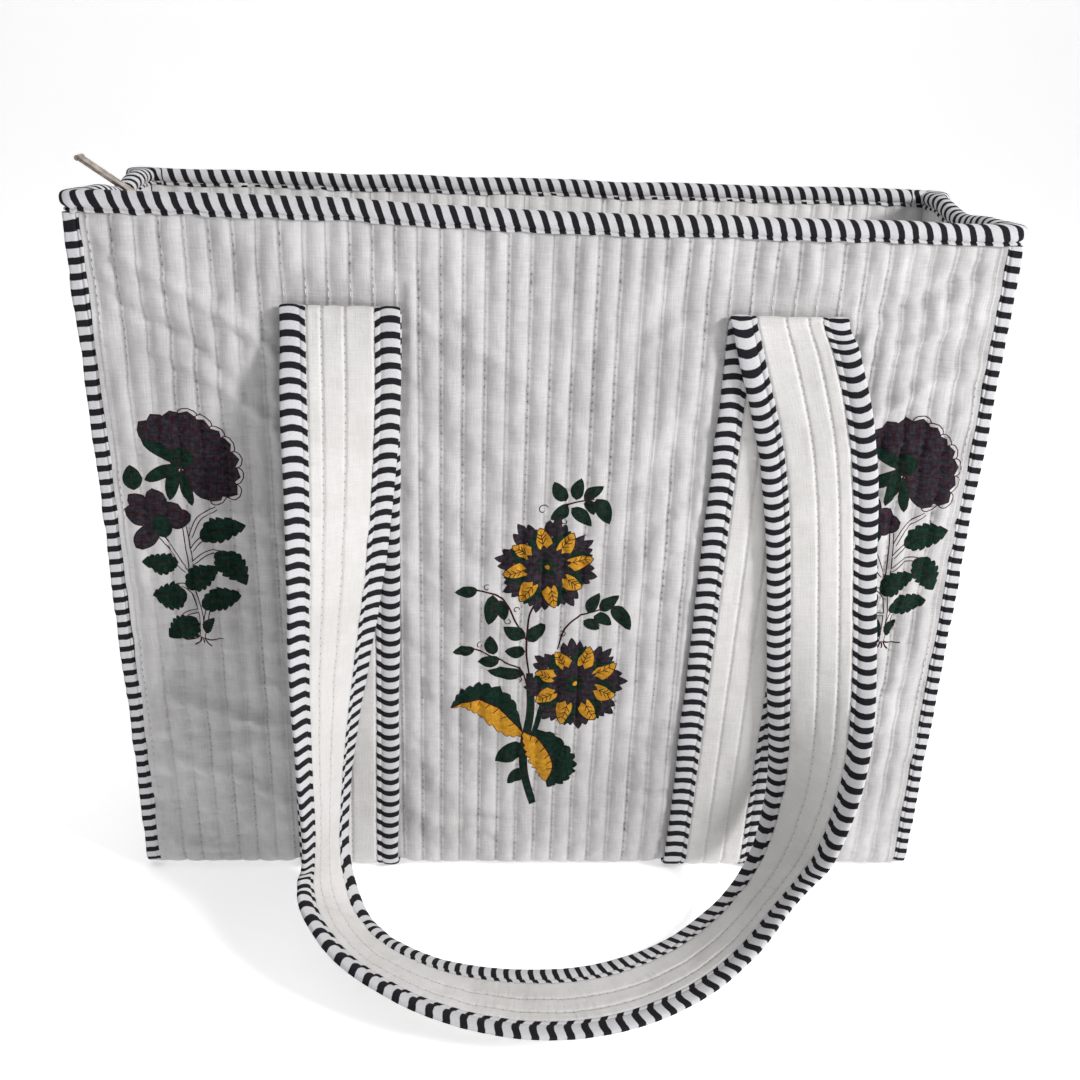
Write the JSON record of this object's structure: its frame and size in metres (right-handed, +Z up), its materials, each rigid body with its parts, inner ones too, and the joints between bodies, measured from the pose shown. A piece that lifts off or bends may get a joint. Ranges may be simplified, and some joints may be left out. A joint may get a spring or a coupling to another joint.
{
  "type": "quilted knitting bag",
  "caption": "Upright quilted cotton project bag with a zip top, striped edge bindings, block-printed flowers and soft strap handles.",
  "frame": {"origin": "middle of the base, on the surface that the bag stands on", "axes": "+X to the right of someone who looks at the front panel, -Y out of the front panel, +Z up"},
  "size_m": [0.4404, 0.3806, 0.3762],
  "materials": {
    "white_cotton": "plain woven cotton, quilted in channels, block printed",
    "wadding": "soft cotton wadding",
    "striped_binding": "white cotton bias tape with black stripes across it",
    "strap_cotton": "plain woven cotton, quilted lengthwise",
    "zip_tape": "woven tape",
    "zip_teeth": "moulded nylon",
    "zip_metal": "nickel plate, rubbed to brass at the tip"
  },
  "bodies": {
    "bag": {"body_outer": "white_cotton", "body_wadding": "wadding", "body_lining": "white_cotton", "gusset_left_outer": "white_cotton", "gusset_left_wadding": "wadding", "gusset_left_lining": "white_cotton", "gusset_right_outer": "white_cotton", "gusset_right_wadding": "wadding", "gusset_right_lining": "white_cotton", "rim_binding": "striped_binding", "seam_binding_left": "striped_binding", "seam_binding_right": "striped_binding", "strap_left_band": "strap_cotton", "strap_left_binding_outer": "striped_binding", "strap_left_binding_inner": "striped_binding", "strap_right_band": "strap_cotton", "strap_right_binding_outer": "striped_binding", "strap_right_binding_inner": "striped_binding", "zip_end_left": "zip_tape", "zip_end_right": "zip_tape"},
    "front_handle": {"handle_front_band": "strap_cotton", "handle_front_binding_outer": "striped_binding", "handle_front_binding_inner": "striped_binding"},
    "rear_handle": {"handle_rear_band": "strap_cotton", "handle_rear_binding_outer": "striped_binding", "handle_rear_binding_inner": "striped_binding"},
    "front_flap": {"zip_facing_front": "white_cotton", "zip_tape_front": "zip_tape", "zip_teeth_front": "zip_teeth"},
    "rear_flap": {"zip_facing_rear": "white_cotton", "zip_tape_rear": "zip_tape", "zip_teeth_rear": "zip_teeth"},
    "slider": {"zip_slider": "zip_metal"},
    "pull": {"zip_pull": "zip_metal"}
  },
  "joints": [
    {"name": "front_handle_swing", "type": "hinge", "parent": "bag", "child": "front_handle", "pos_m": [0, -0.05715, 0.3172], "axis": [-1, 0, 0], "range_deg": [0, 150]},
    {"name": "rear_handle_swing", "type": "hinge", "parent": "bag", "child": "rear_handle", "pos_m": [0, 0.05715, 0.3172], "axis": [1, 0, 0], "range_deg": [0, 150]},
    {"name": "front_flap_open", "type": "hinge", "parent": "bag", "child": "front_flap", "pos_m": [0, -0.048, 0.3453], "axis": [-1, 0, 0], "range_deg": [0, 80]},
    {"name": "rear_flap_open", "type": "hinge", "parent": "bag", "child": "rear_flap", "pos_m": [0, 0.048, 0.3453], "axis": [1, 0, 0], "range_deg": [0, 80]},
    {"name": "slider_travel", "type": "slide", "parent": "bag", "child": "slider", "axis": [1, 0, 0], "range_m": [0, 0.337]},
    {"name": "pull_turn", "type": "hinge", "parent": "slider", "child": "pull", "pos_m": [-0.187, 0, 0.3499], "axis": [0, 1, 0], "range_deg": [0, 140]}
  ]
}
